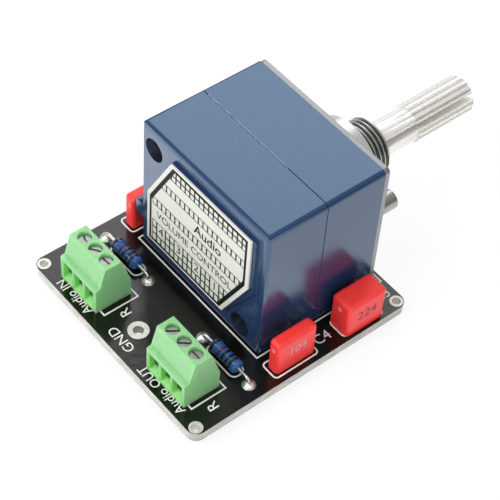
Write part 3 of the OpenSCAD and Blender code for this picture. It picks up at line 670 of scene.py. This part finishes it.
def paint_shade_inwards(material, front):
    """Darkens a finish along Y, from the front of a terminal into its depth, as painted shade."""
    tree = material.node_tree
    shader = tree.nodes["Principled BSDF"]
    outer = shader.inputs["Base Color"].links[0].from_socket
    place = tree.nodes.new("ShaderNodeTexCoord")
    split = tree.nodes.new("ShaderNodeSeparateXYZ")
    tree.links.new(place.outputs["Object"], split.inputs[0])
    depth = tree.nodes.new("ShaderNodeMapRange")
    depth.inputs["From Min"].default_value = front + ENTRY_FADE[0] * MM
    depth.inputs["From Max"].default_value = front + ENTRY_FADE[1] * MM
    tree.links.new(split.outputs["Y"], depth.inputs["Value"])
    mix = tree.nodes.new("ShaderNodeMix")
    mix.data_type = "RGBA"
    mix.inputs[7].default_value = tone(*ENTRY_PAINTED_SHADE)
    tree.links.new(depth.outputs[0], mix.inputs["Factor"])
    tree.links.new(outer, mix.inputs[6])
    tree.links.new(mix.outputs[2], shader.inputs["Base Color"])


terminal_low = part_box("in_housing")[0]
terminal_front = terminal_low.y / MM
paint_shade_inwards(wire_hole_painted_light_and_shade, terminal_low.y)


def in_wire_hole(c):
    """True behind a terminal's front wall, over the sill and under the ledge."""
    height = c.z - terminal_low.z / MM
    behind = terminal_front + HAIR < c.y < terminal_front + ENTRY_DEPTH + HAIR
    return behind and ENTRY_HEIGHT[0] < height < ENTRY_HEIGHT[1]


for node in ("in_housing", "out_housing"):
    print("dull faces in", node, refinish(soft_parts[node], wire_hole_painted_light_and_shade, in_wire_hole))

# %% [markdown]
# The shaft's teeth are rolled. The furrows between them are painted grey, as painted shade, so the crests
# stand out bright. The sawn split is pale and matt. Both are picked by the distance of a face's centre
# from the axis.

# %% Furrows and split of the shaft
FURROW = (2.5, 2.76)
SPLIT = 0.7
SPLINE_LENGTH = 11.3

bushing_low, bushing_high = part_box("bushing")
AXIS_Z = (bushing_low.z + bushing_high.z) / 2.0 / MM
shaft_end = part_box("shaft")[1].y / MM
# The furrows' grey is painted shade.
shaft_furrow_painted_shade = finish("shaft_furrow_painted_shade", (190, 188, 182), (208, 206, 200), 0.5, (0.5, 0.6), 0.02, 0.5)
shaft_split = finish("shaft_split", (240, 238, 232), (248, 246, 241), 0.5, (0.55, 0.65), 0.02)


def from_axis(c):
    """Distance of a point from the shaft's axis."""
    return math.hypot(c.x, c.z - AXIS_Z)


furrows = refinish(
    soft_parts["shaft"], shaft_furrow_painted_shade,
    lambda c: c.y > shaft_end - SPLINE_LENGTH + HAIR and FURROW[0] < from_axis(c) < FURROW[1],
)
split_faces = refinish(
    soft_parts["shaft"], shaft_split,
    lambda c: bushing_high.y / MM < c.y < shaft_end - HAIR and from_axis(c) < SPLIT,
)
print("furrow faces:", furrows, "split faces:", split_faces)

# %% [markdown]
# Turned and plated parts are round, so they come from one outline spun about an axis. The outline is
# drawn as a chain of points: a plane is merged to a single vertex, which is extruded from point to
# point. Spin then sweeps the closed chain through a full turn.

# %% Helper for turned pieces
TURN_STEPS = 72
NEAR = 0.001


def turned(outline):
    """Spins a closed outline of radius and height points, in millimetres, about the Z axis."""
    bpy.ops.object.select_all(action="DESELECT")
    bpy.ops.mesh.primitive_plane_add(size=MM)
    piece = bpy.context.object
    edit(piece)
    bpy.ops.mesh.merge(type="CENTER")
    bpy.ops.transform.translate(value=(outline[0][0] * MM, 0.0, outline[0][1] * MM))
    for here, there in zip(outline, outline[1:] + outline[:1]):
        step = ((there[0] - here[0]) * MM, 0.0, (there[1] - here[1]) * MM)
        bpy.ops.mesh.extrude_vertices_move(TRANSFORM_OT_translate={"value": step})
    bpy.ops.mesh.select_all(action="SELECT")
    bpy.ops.mesh.spin(steps=TURN_STEPS, angle=math.tau, center=(0.0, 0.0, 0.0), axis=(0.0, 0.0, 1.0))
    bpy.ops.mesh.select_all(action="SELECT")
    bpy.ops.mesh.remove_doubles(threshold=NEAR * MM)
    bpy.ops.mesh.normals_make_consistent(inside=False)
    close_edit()
    bpy.ops.object.shade_smooth_by_angle(angle=SHARP)
    return piece


print("turning helper ready")

# %% [markdown]
# Each corner hole and the ground hole is plated through, with a bright ring on both faces. The ring
# is a short sleeve with a thin flange at each end, a little inside the drilled hole. The walls of the
# corner holes are painted pale, as painted light for the white floor that shows through them, while
# the wall of the ground hole is a darker grey.

# %% Plated holes
board_low, board_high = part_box("board")
BOARD_TOP = board_high.z / MM
CORNER_INSET = 1.25
CORNER_HOLE = 1.3
CORNER_RING = 2.05
GROUND_HOLE = 1.6
GROUND_RING = 3.15
GROUND_INSET = 4.9
PLATING = 0.035
SLEEVE_GAP = 0.005
FLANGE_SINK = 0.01
LIP = 0.05
RING_SLOPE = 0.04


def plated_hole(x, y, hole_d, ring_d):
    """A sleeve in a drilled hole, flanged on both faces of the board."""
    inner = hole_d / 2.0 - PLATING
    wall = hole_d / 2.0 - SLEEVE_GAP
    ring = ring_d / 2.0
    top = BOARD_TOP + PLATING
    seat = BOARD_TOP - FLANGE_SINK
    outline = [
        (inner, 0.0), (inner, top - LIP), (inner + LIP, top), (ring - RING_SLOPE, top), (ring, seat),
        (wall, seat), (wall, FLANGE_SINK), (ring, FLANGE_SINK),
        (ring - RING_SLOPE, -PLATING), (inner + LIP, -PLATING),
    ]
    piece = turned(outline)
    piece.location = (x * MM, y * MM, 0.0)
    return piece


corner_x = board_high.x / MM - CORNER_INSET
corner_y = board_high.y / MM - CORNER_INSET
rings = []
for x in (-corner_x, corner_x):
    for y in (-corner_y, corner_y):
        rings.append(plated_hole(x, y, CORNER_HOLE, CORNER_RING))
rings.append(plated_hole(0.0, board_low.y / MM + GROUND_INSET, GROUND_HOLE, GROUND_RING))
for ring in rings:
    pick(ring)
    bpy.ops.object.transform_apply(location=True, rotation=True, scale=True)
plated_rings = settle(join(rings), "plated_rings", pad_plating)


def in_hole(c):
    """True on the wall of a plated hole."""
    return HAIR < c.z < BOARD_TOP - HAIR


# The corner holes' pale walls are painted light, for the white floor that shows through them.
corner_wall_painted_light = finish("corner_wall_painted_light", (196, 197, 191), (216, 217, 211), 0.3, (0.4, 0.6), 0.1, 0.3)
ground_wall = finish("ground_wall", (96, 97, 88), (124, 124, 112), 0.3, (0.4, 0.6), 0.1, 0.7)
wall_faces = refinish(plated_rings, corner_wall_painted_light, in_hole)
ground_faces = refinish(plated_rings, ground_wall, lambda c: in_hole(c) and abs(c.x) < GROUND_RING)
print("plated holes:", len(rings), "wall faces:", wall_faces, "of them in the ground hole:", ground_faces)

# %% [markdown]
# White ink marks where each component stands. An outline is a plane whose corners are bevelled round,
# inset by the line's width, with the middle taken out. Solidify then gives the ink its small height.

# %% Printed outlines
LINE = 0.24
INK_HEIGHT = 0.02
INK_SINK = 0.01


def thicken(piece, thickness):
    """Gives a flat sheet a thickness behind its face."""
    pick(piece)
    layer = piece.modifiers.new("layer", "SOLIDIFY")
    layer.thickness = thickness * MM
    layer.offset = -1.0
    bpy.ops.object.modifier_apply(modifier="layer")


def ink(piece):
    """Lays a flat sheet of ink on the board and gives it its height."""
    piece.location.z = (BOARD_TOP + INK_HEIGHT) * MM
    pick(piece)
    bpy.ops.object.transform_apply(location=True, rotation=True, scale=True)
    thicken(piece, INK_HEIGHT + INK_SINK)
    return piece


def printed_frame(x0, x1, y0, y1, radius=0.0):
    """A printed rectangle of one line's width, with round corners if it has a radius."""
    bpy.ops.object.select_all(action="DESELECT")
    middle = ((x0 + x1) / 2.0 * MM, (y0 + y1) / 2.0 * MM, 0.0)
    bpy.ops.mesh.primitive_plane_add(size=1.0, location=middle)
    piece = bpy.context.object
    piece.scale = ((x1 - x0) * MM, (y1 - y0) * MM, 1.0)
    bpy.ops.object.transform_apply(location=False, rotation=False, scale=True)
    edit(piece)
    if radius:
        bpy.ops.mesh.bevel(offset=radius * MM, segments=5, affect="VERTICES")
        bpy.ops.mesh.select_all(action="SELECT")
    bpy.ops.mesh.inset(thickness=LINE * MM)
    bpy.ops.mesh.delete(type="FACE")
    close_edit()
    return ink(piece)


POT_HALF = 13.8
POT_BACK = -4.42
POT_FRONT = 18.95
SMALL_CAP = (14.85, 18.15, -4.6, 3.4)
LARGE_CAP = (14.75, 18.3, 7.7, 15.4)
CAP_CORNER = 0.7
RESISTOR_X = ((8.0, 14.6), (-14.6, -7.85))
RESISTOR_Y = (-9.3, -6.8)
RESISTOR_CORNER = 1.0
TERMINAL_X = ((-13.95, -4.82), (6.25, 15.17))
TERMINAL_Y = (-16.9, -10.8)

outlines = [printed_frame(-POT_HALF, POT_HALF, POT_BACK, POT_FRONT)]
for x0, x1, y0, y1 in (SMALL_CAP, LARGE_CAP):
    outlines.append(printed_frame(x0, x1, y0, y1, CAP_CORNER))
    outlines.append(printed_frame(-x1, -x0, y0, y1, CAP_CORNER))
for ends in RESISTOR_X:
    outlines.append(printed_frame(*ends, *RESISTOR_Y, RESISTOR_CORNER))
for ends in TERMINAL_X:
    outlines.append(printed_frame(*ends, *TERMINAL_Y))
settle(join(outlines), "silk_outlines", silk_white)
print("printed outlines:", len(outlines))

# %% [markdown]
# Plain function marks are printed beside the parts: which terminal is in and which is out, the right
# channel, the ground hole, and part numbers. Each mark is a text object made into a mesh before it is
# laid on the board. Most of them face the terminal edge, so they are turned half round.

# %% Printed marks
MARKS = [
    ("Audio IN", -10.2, -18.15, 180.0, 1.95),
    ("Audio OUT", 10.05, -18.1, 180.0, 1.95),
    ("R", -3.6, -14.05, 180.0, 2.3),
    ("R", 16.4, -14.15, 180.0, 2.3),
    ("GND", -0.1, -17.35, 180.0, 2.2),
    ("C4", 16.4, 5.3, 90.0, 2.3),
    ("C3", 15.75, 17.15, 90.0, 2.3),
    ("C2", -16.4, 5.3, 90.0, 2.3),
    ("C1", -15.75, 17.15, 90.0, 2.3),
]


def lettered(words, size, bold=0.0):
    """Words as a flat mesh centred on the origin, with strokes made bolder by a small offset."""
    bpy.ops.object.select_all(action="DESELECT")
    bpy.ops.object.text_add()
    piece = bpy.context.object
    piece.data.body = words
    piece.data.size = size * MM
    piece.data.offset = bold * MM
    piece.data.align_x = "CENTER"
    piece.data.align_y = "CENTER"
    piece.data.resolution_u = 4
    bpy.ops.object.convert(target="MESH")
    return bpy.context.object


def printed_mark(words, x, y, turn, size):
    """Words in white ink, laid on the board and turned in degrees."""
    piece = lettered(words, size)
    piece.rotation_euler.z = math.radians(turn)
    piece.location = (x * MM, y * MM, 0.0)
    return ink(piece)


marks = [printed_mark(*mark) for mark in MARKS]
settle(join(marks), "silk_marks", silk_white)
print("printed marks:", len(marks))

# %% [markdown]
# The label's print is a border and rows of small boxes between bare strips. All of it is drawn flat first.
# One helper makes a sheet, and one cuts its two slanted corners away by bisect.

# %% Sheets for the label
label_low, label_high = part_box("label_plate")
LABEL_HALF = (label_high.x - label_low.x) / 2.0 / MM
LABEL_FOOT = label_low.z / MM
LABEL_HEAD = label_high.z / MM
LABEL_FACE = label_low.y / MM
CUT_WIDTH = 5.0
CUT_HEIGHT = 9.5


def trim(inset, clear=True):
    """In edit mode, cuts a sheet along the label's slanted edges, moved in, and clears the outside."""
    lean = math.hypot(CUT_WIDTH, CUT_HEIGHT)
    normal = (CUT_HEIGHT / lean, -CUT_WIDTH / lean)
    reach = (LABEL_HALF - CUT_WIDTH) * normal[0] - (LABEL_HEAD - LABEL_FOOT) / 2.0 * normal[1] - inset
    middle = (LABEL_HEAD + LABEL_FOOT) / 2.0
    for side in (1.0, -1.0):
        point = (side * normal[0] * reach * MM, (middle + side * normal[1] * reach) * MM, 0.0)
        bpy.ops.mesh.select_all(action="SELECT")
        bpy.ops.mesh.bisect(
            plane_co=point, plane_no=(side * normal[0], side * normal[1], 0.0), clear_outer=clear
        )
    bpy.ops.mesh.select_all(action="SELECT")


def flat_sheet(x0, x1, y0, y1, columns=1, rows=1):
    """A flat grid between two corners, in millimetres."""
    bpy.ops.object.select_all(action="DESELECT")
    bpy.ops.mesh.primitive_grid_add(x_subdivisions=columns, y_subdivisions=rows, size=1.0)
    piece = bpy.context.object
    piece.scale = ((x1 - x0) * MM, (y1 - y0) * MM, 1.0)
    piece.location = ((x0 + x1) / 2.0 * MM, (y0 + y1) / 2.0 * MM, 0.0)
    bpy.ops.object.transform_apply(location=True, rotation=True, scale=True)
    return piece


print("label:", round(2.0 * LABEL_HALF, 2), "by", round(LABEL_HEAD - LABEL_FOOT, 2), "mm")

# %% [markdown]
# The border is a sheet trimmed at the slanted corners and inset, with the middle taken out. Two more
# cuts, further in, keep it heavier along the slants.

# %% Border of the label
MARGIN = 0.62
FOOT_MARGIN = 0.45
TOP_MARGIN = 0.28
CUT_MARGIN = 0.65
BORDER = 0.42
CUT_BORDER = 0.64
MIDDLE_REACH = 4.0


def label_border():
    """The line round the label, heavier along the two slanted edges."""
    foot, head = LABEL_FOOT + FOOT_MARGIN, LABEL_HEAD - TOP_MARGIN
    piece = flat_sheet(-LABEL_HALF + MARGIN, LABEL_HALF - MARGIN, foot, head)
    edit(piece)
    trim(CUT_MARGIN)
    bpy.ops.mesh.inset(thickness=BORDER * MM)
    trim(CUT_MARGIN + CUT_BORDER, clear=False)
    pick_faces(piece, lambda c, n: math.hypot(c.x, c.y - (foot + head) / 2.0 * MM) < MIDDLE_REACH * MM)
    bpy.ops.mesh.delete(type="FACE")
    close_edit()
    return piece


label_parts = [label_border()]
print("border faces:", len(label_parts[0].data.polygons))

# %% [markdown]
# A row of boxes is a grid whose faces are inset one by one and emptied, which leaves a lattice of thin
# lines. The same cuts trim the rows at the border. In the lowest band, groups of four boxes become one, to
# hold a number.

# %% Boxes on the label
GRID_LINE = 0.26
COLUMN = 1.01
GRID_START = -9.8
OVERLAP = 0.8
UPPER_FOOT = 21.15
UPPER_HEAD = LABEL_HEAD - TOP_MARGIN - BORDER * OVERLAP
MIDDLE_ROW = (17.75, 19.2)
LOWER_ROW = (13.1, 14.6)
BAND_FOOT = LABEL_FOOT + FOOT_MARGIN + BORDER * OVERLAP
BAND_HEAD = 9.85
BAND_ROW = (BAND_HEAD - BAND_FOOT) / 3.0
NUMBER_COLUMNS = [1, 5, 9, 13]


def box_rows(foot, head, rows, wide_boxes=()):
    """Rows of small boxes, with some groups of boxes made into one."""
    end = LABEL_HALF - MARGIN - BORDER / 2.0
    columns = math.ceil((end - GRID_START) / COLUMN)
    piece = flat_sheet(GRID_START, GRID_START + columns * COLUMN, foot, head, columns, rows)
    edit(piece)
    for x0, x1, y0 in wide_boxes:
        pick_faces(piece, lambda c, n: x0 < c.x / MM < x1 and c.y / MM > y0)
        bpy.ops.mesh.dissolve_faces()
    bpy.ops.mesh.select_all(action="SELECT")
    bpy.ops.mesh.inset(thickness=GRID_LINE / 2.0 * MM, use_individual=True)
    bpy.ops.mesh.delete(type="FACE")
    bpy.ops.mesh.select_all(action="SELECT")
    bpy.ops.mesh.remove_doubles(threshold=NEAR * MM)
    trim(CUT_MARGIN + CUT_BORDER * OVERLAP)
    bpy.ops.mesh.bisect(plane_co=(end * MM, 0.0, 0.0), plane_no=(1.0, 0.0, 0.0), clear_outer=True)
    close_edit()
    return piece


wide = []
for column in NUMBER_COLUMNS:
    x0 = GRID_START + column * COLUMN
    x1 = GRID_START + (column + 2) * COLUMN
    wide.append((x0, x1, BAND_FOOT + BAND_ROW))
label_parts.append(box_rows(UPPER_FOOT, UPPER_HEAD, 2))
label_parts.append(box_rows(*MIDDLE_ROW, 1))
label_parts.append(box_rows(*LOWER_ROW, 1))
label_parts.append(box_rows(BAND_FOOT, BAND_HEAD, 3, wide))
print("boxes for numbers:", len(wide))

# %% [markdown]
# The numbers count the wide boxes, and plain words stand in the two strips. The whole print is then
# joined, stood up in front of the label and thickened. Each word has its size, its middle across and up,
# and how far its strokes are made bolder.

# %% Words on the label
PRINT_HEIGHT = 0.015
NUMBER_SIZE = 2.3
WORDS = [("Audio", 2.4, 2.4, 16.2, 0.025), ("VOLUME CONTROL", 1.85, -0.5, 11.5, 0.0)]

words = []
for number, (x0, x1, y0) in zip("4321", wide):
    words.append((number, NUMBER_SIZE, (x0 + x1) / 2.0, y0 + BAND_ROW, 0.0))
for word, size, x, y, bold in words + WORDS:
    mark = lettered(word, size, bold)
    mark.location = (x * MM, y * MM, 0.0)
    pick(mark)
    bpy.ops.object.transform_apply(location=True, rotation=True, scale=True)
    label_parts.append(mark)
label_print = join(label_parts)
label_print.rotation_euler.x = math.radians(90.0)
label_print.location.y = (LABEL_FACE - PRINT_HEIGHT) * MM
thicken(label_print, PRINT_HEIGHT + INK_SINK)
settle(label_print, "label_print", label_ink)
print("label print pieces:", len(label_parts))

# %% [markdown]
# The bushing is a turned piece: a spigot in the plate, a wide round base, and a thread for the panel nut.
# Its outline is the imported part's own, with the thread drawn as a row of crests. The grooves between
# them are darker, because little light reaches in.

# %% Threaded bushing
BORE_R = 3.04
SPIGOT_R = 4.0
BASE_R = (bushing_high.x - bushing_low.x) / 2.0 / MM
BASE_LENGTH = 5.8
BASE_CHAMFER = 0.35
THREAD_R = 4.5
THREAD_DEPTH = 0.42
THREAD_PITCH = 0.75
THREAD_TURNS = 4
GROOVE = (0.25, 0.6, 0.85)
CREST = 0.01
END_CHAMFER = 0.4

plate_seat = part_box("front_plate")[1].y / MM
thread_start = plate_seat + BASE_LENGTH + HAIR
thread_end = bushing_high.y / MM - CREST


def bushing_outline():
    """Radius and place along the shaft of every edge of the bushing."""
    rear = bushing_low.y / MM
    step = plate_seat + BASE_LENGTH
    end = bushing_high.y / MM
    root = THREAD_R - THREAD_DEPTH
    points = [(BORE_R, rear), (SPIGOT_R, rear), (SPIGOT_R, plate_seat), (BASE_R, plate_seat)]
    points += [(BASE_R, step - BASE_CHAMFER), (BASE_R - BASE_CHAMFER, step), (THREAD_R, step)]
    for turn in range(THREAD_TURNS, 0, -1):
        crest = end - END_CHAMFER - turn * THREAD_PITCH
        sunk, rising, risen = [crest + share * THREAD_PITCH for share in GROOVE]
        points += [(THREAD_R, crest), (root, sunk), (root, rising), (THREAD_R, risen)]
    points += [(THREAD_R, end - END_CHAMFER), (THREAD_R - END_CHAMFER, end), (BORE_R, end)]
    return points


bushing = turned(bushing_outline())
bushing.rotation_euler.x = math.radians(-90.0)
bushing.location.z = AXIS_Z * MM
settle(bushing, "threaded_bushing", FINISHES["bushing_metal"])
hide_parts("bushing")


def in_groove(c):
    """True between the thread's crests."""
    deep = THREAD_R - THREAD_DEPTH - HAIR < from_axis(c) < THREAD_R - CREST
    return deep and thread_start < c.y < thread_end


print("groove faces:", refinish(bushing, thread_dark, in_groove))

# %% [markdown]
# A film capacitor is a block cast in a plastic box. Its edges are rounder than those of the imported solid,
# and a moulding dimple is sunk in one end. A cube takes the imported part's box, all its edges but the
# foot's are bevelled round, and a Boolean with a short cylinder sinks the dimple.

# %% Film capacitors
CAP_ROUND = 0.65
DIMPLE = 0.8
DIMPLE_DEPTH = 0.15
DIMPLE_DROP = 1.6
DIMPLE_SLACK = 0.02

# The dimple's pale colour is a painted highlight in its hollow.
dimple_painted_highlight = finish("dimple_painted_highlight", (236, 128, 116), (244, 146, 132), 0.3, (0.4, 0.5), 0.03)


def sink_dimple(piece, place):
    """Takes a short cylinder along Y out of a piece."""
    bpy.ops.object.select_all(action="DESELECT")
    bpy.ops.mesh.primitive_cylinder_add(
        vertices=32, radius=DIMPLE / 2.0 * MM, depth=2.0 * DIMPLE_DEPTH * MM,
        location=place, rotation=(math.radians(90.0), 0.0, 0.0),
    )
    cutter = bpy.context.object
    dimple = piece.modifiers.new("dimple", "BOOLEAN")
    dimple.operation = "DIFFERENCE"
    dimple.object = cutter
    pick(piece)
    bpy.ops.object.modifier_apply(modifier="dimple")
    pick(cutter)
    bpy.ops.object.delete()


def film_capacitor(node):
    """A rounded block with a dimple in its end, which stands for a packed capacitor."""
    low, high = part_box(node)
    bpy.ops.object.select_all(action="DESELECT")
    bpy.ops.mesh.primitive_cube_add(size=1.0, location=(low + high) / 2.0)
    piece = bpy.context.object
    piece.scale = high - low
    bpy.ops.object.transform_apply(location=True, rotation=True, scale=True)
    edit(piece)
    bpy.ops.mesh.select_mode(type="EDGE")
    bpy.ops.mesh.select_all(action="DESELECT")
    close_edit()
    points = piece.data.vertices
    for edge in piece.data.edges:
        edge.select = max(points[v].co.z for v in edge.vertices) > low.z + MM
    bpy.ops.object.mode_set(mode="EDIT")
    bpy.ops.mesh.bevel(offset=CAP_ROUND * MM, segments=6, affect="EDGES")
    close_edit()
    place = ((low.x + high.x) / 2.0, low.y, high.z - DIMPLE_DROP * MM)
    sink_dimple(piece, place)
    even_light(piece)
    settle(piece, node + "_block", FINISHES["red_plastic"])
    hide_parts(node)

    def in_dimple(c):
        """True on the wall or floor of this dimple."""
        off = math.hypot(c.x - place[0] / MM, c.z - place[2] / MM)
        depth = c.y - low.y / MM
        inside = off < DIMPLE / 2.0 + DIMPLE_SLACK
        return inside and DIMPLE_SLACK < depth < DIMPLE_DEPTH + DIMPLE_SLACK

    return refinish(piece, dimple_painted_highlight, in_dimple)


for end in ("left", "right"):
    print("dimple faces:", film_capacitor("small_cap_" + end), film_capacitor("large_cap_" + end))

# %% [markdown]
# The film capacitors carry a printed value on the side that faces out. A plain number stands there,
# grey on the thin ones and dark on the thick ones, laid on the red face like the marks on the board.

# %% Capacitor print
cap_grey = finish("cap_grey", (196, 150, 150), (214, 172, 172), 0.2, (0.5, 0.6), 0.03)
cap_dark = finish("cap_dark", (112, 30, 34), (128, 40, 42), 0.2, (0.5, 0.6), 0.03)


def capacitor_print(node, words, size, lift, material):
    """A plain number on the outer side of a capacitor, lift millimetres over its middle."""
    low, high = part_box(node)
    centre = (low + high) / 2.0
    side = 1.0 if centre.x > 0.0 else -1.0
    piece = lettered(words, size)
    piece.rotation_euler = (math.radians(90.0), 0.0, math.radians(90.0) * side)
    outer = high.x if side > 0.0 else low.x
    piece.location = (outer + side * PRINT_HEIGHT * MM, centre.y, centre.z + lift * MM)
    thicken(piece, PRINT_HEIGHT + INK_SINK)
    return settle(piece, node + "_print", material)


for end in ("left", "right"):
    grey = capacitor_print("small_cap_" + end, "104", 2.2, 0.5, cap_grey)
    dark = capacitor_print("large_cap_" + end, "224", 2.4, 0.2, cap_dark)
    print("capacitor prints:", grey.name, dark.name)

# %% [markdown]
# Where the two shells of the case meet, the mould has left a hair of flash on the top. It is a narrow
# sheet with many columns, made ragged by random moves and then given a little thickness. Its pale blue
# is a painted highlight, the light line along the seam, and it stops short of the right-hand edge, as
# that light line does on the real case.

# %% Parting flash
FLASH = (-12.0, 5.2)
FLASH_WIDTH = 0.12
FLASH_HEIGHT = 0.03
FLASH_SINK = 0.02
FLASH_COLUMNS = 90
FLASH_RAGGED = 0.05

seam_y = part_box("rear_case")[1].y / MM
case_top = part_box("rear_case")[1].z / MM
# The flash's pale blue is a painted highlight along the seam.
flash_painted_highlight = finish("flash_painted_highlight", (98, 126, 168), (140, 164, 200), 0.9, (0.35, 0.5), 0.05)
flash = flat_sheet(*FLASH, seam_y - FLASH_WIDTH / 2.0, seam_y + FLASH_WIDTH / 2.0, FLASH_COLUMNS)
edit(flash)
bpy.ops.transform.vertex_random(offset=FLASH_RAGGED * MM, uniform=0.0, normal=0.0, seed=7)
close_edit()
flash.scale.z = 0.0
flash.location.z = (case_top + FLASH_HEIGHT) * MM
bpy.ops.object.transform_apply(location=True, rotation=True, scale=True)
thicken(flash, FLASH_HEIGHT + FLASH_SINK)
settle(flash, "parting_flash", flash_painted_highlight)
print("flash faces:", len(flash.data.polygons))
